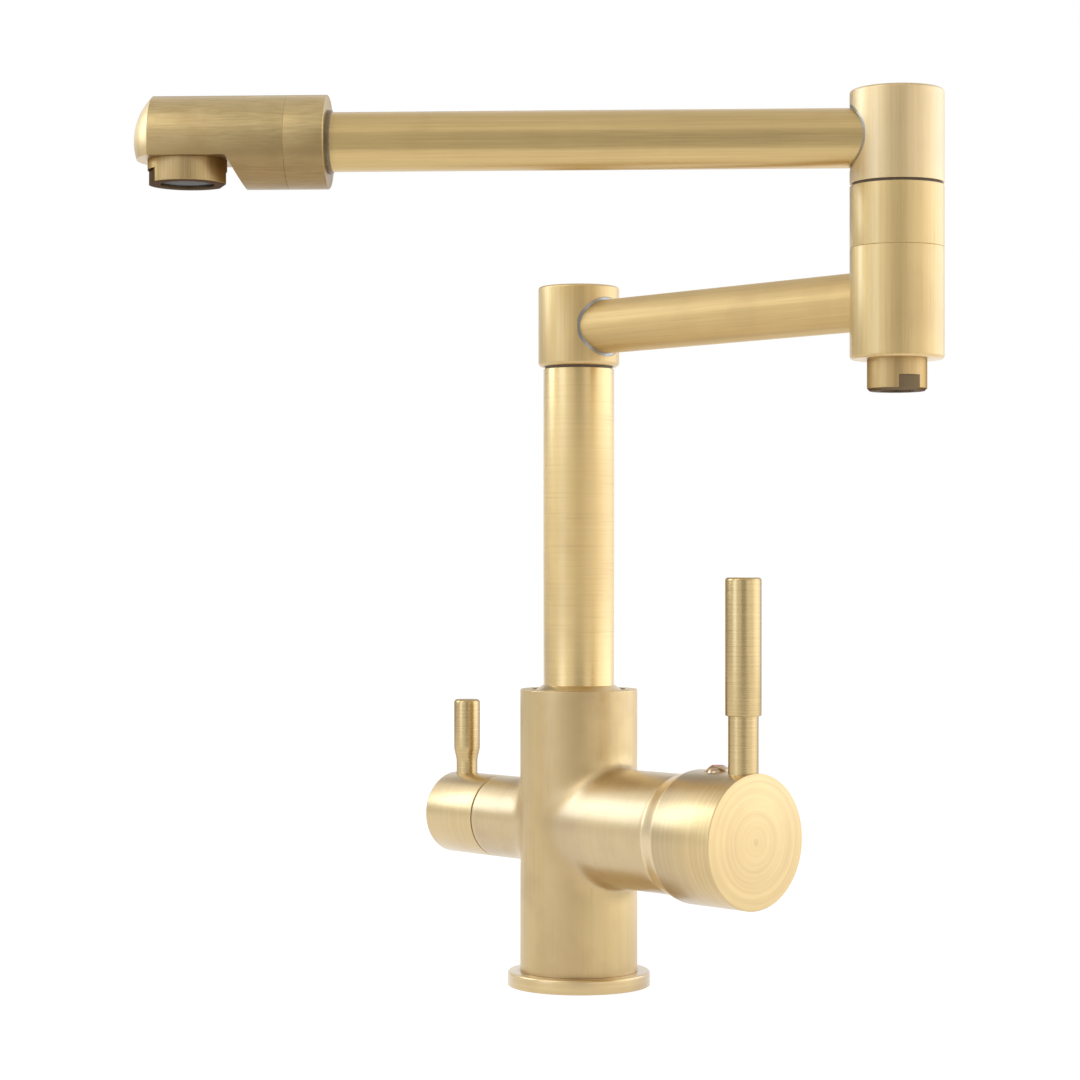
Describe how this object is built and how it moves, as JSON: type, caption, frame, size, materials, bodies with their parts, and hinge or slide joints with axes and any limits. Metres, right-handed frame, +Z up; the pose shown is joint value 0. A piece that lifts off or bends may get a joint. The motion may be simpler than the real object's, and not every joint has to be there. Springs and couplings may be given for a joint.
{
  "type": "deck-mounted pot filler tap",
  "caption": "Tall kitchen tap with a folding double-jointed spout, a mixer lever on one side and a filtered-water lever on the other, on a round deck flange.",
  "frame": {"origin": "middle of the underside of the base, on the riser's axis, where the fixing stud enters", "axes": "+Z up along the riser, +X towards the mixer handle and along the lower arm at rest, -X towards the filter handle, -Y towards the sink"},
  "size_m": [0.231, 0.204, 0.301],
  "materials": {
    "antique_brass": "brushed antique brass, lacquered",
    "aged_brass": "darker aged brass",
    "plain_brass": "machined",
    "copper_pipe": "drawn copper pipe",
    "steel": "satin stainless steel",
    "chrome": "polished",
    "hot_red": "red enamel",
    "cold_blue": "blue enamel",
    "ceramic": "lapped ceramic",
    "cartridge_plastic": "moulded",
    "seal_rubber": "moulded",
    "dark_washer": "low-friction washer",
    "grey_plastic": "moulded"
  },
  "bodies": {
    "tap_body": {"body_casting": "antique_brass", "base_flange": "antique_brass", "base_gasket": "seal_rubber", "gland_nut": "antique_brass", "riser_foot": "plain_brass", "riser_foot_seals": "seal_rubber", "riser_tube": "antique_brass", "filter_riser_tube": "copper_pipe", "riser_post": "plain_brass", "lower_swivel_seals": "seal_rubber", "lower_swivel_washer": "dark_washer", "cartridge_base": "cartridge_plastic", "cartridge_seals": "seal_rubber", "cartridge_housing": "cartridge_plastic", "fixed_disc": "ceramic", "cartridge_nut": "plain_brass", "filter_valve_body": "plain_brass", "filter_seat_seal": "seal_rubber", "filter_fixed_disc": "ceramic"},
    "temperature_carrier": {"temperature_carrier": "cartridge_plastic", "tilt_pin": "steel"},
    "flow_disc": {"moving_disc": "ceramic"},
    "mixer_lever": {"lever_spindle": "plain_brass", "handle_cap": "antique_brass", "handle_screw": "steel", "lever_stem": "antique_brass", "lever_sleeve": "antique_brass", "index_button": "chrome", "hot_mark": "hot_red", "cold_mark": "cold_blue"},
    "filter_handle": {"filter_moving_disc": "ceramic", "filter_spindle": "plain_brass", "filter_cap": "antique_brass", "filter_screw": "steel", "filter_lever": "antique_brass"},
    "lower_arm": {"inner_knuckle": "antique_brass", "lower_swivel_screw": "steel", "lower_arm_tube": "antique_brass", "lower_arm_rings": "steel", "filter_arm_tube": "copper_pipe", "outer_knuckle": "antique_brass", "spacer_ring": "antique_brass", "outer_post": "plain_brass", "upper_swivel_seals": "seal_rubber", "upper_swivel_washer": "dark_washer", "outlet_housing": "antique_brass", "outlet_insert": "grey_plastic"},
    "upper_arm": {"upper_elbow": "antique_brass", "upper_swivel_screw": "steel", "upper_arm_tube": "antique_brass", "upper_arm_ring": "steel", "head_collar": "aged_brass", "head_sleeve": "antique_brass", "head_seal": "seal_rubber", "spout_head": "antique_brass", "nose_cap": "antique_brass", "aerator_housing": "aged_brass", "aerator_insert": "grey_plastic", "aerator_mesh": "steel", "aerator_gasket": "seal_rubber"}
  },
  "joints": [
    {"name": "lower_arm_swing", "type": "hinge", "parent": "tap_body", "child": "lower_arm", "pos_m": [0, 0, 0.235], "axis": [0, 0, 1], "continuous": true},
    {"name": "upper_arm_swing", "type": "hinge", "parent": "lower_arm", "child": "upper_arm", "pos_m": [0.148, 0, 0.286], "axis": [0, 0, 1], "continuous": true},
    {"name": "temperature_turn", "type": "hinge", "parent": "tap_body", "child": "temperature_carrier", "pos_m": [0.0402, 0, 0.0575], "axis": [1, 0, 0], "range_deg": [-45, 45]},
    {"name": "flow_tilt", "type": "hinge", "parent": "temperature_carrier", "child": "mixer_lever", "pos_m": [0.0402, 0, 0.0575], "axis": [0, 1, 0], "range_deg": [0, 25]},
    {"name": "flow_disc_slide", "type": "slide", "parent": "temperature_carrier", "child": "flow_disc", "axis": [0, 0, 1], "range_m": [0, 0.00356]},
    {"name": "filter_turn", "type": "hinge", "parent": "tap_body", "child": "filter_handle", "pos_m": [-0.0418, 0, 0.0575], "axis": [1, 0, 0], "range_deg": [0, 90]}
  ],
  "couplings": [
    {"joint": "flow_disc_slide", "follows": "flow_tilt", "m_per_rad": 0.008136}
  ]
}
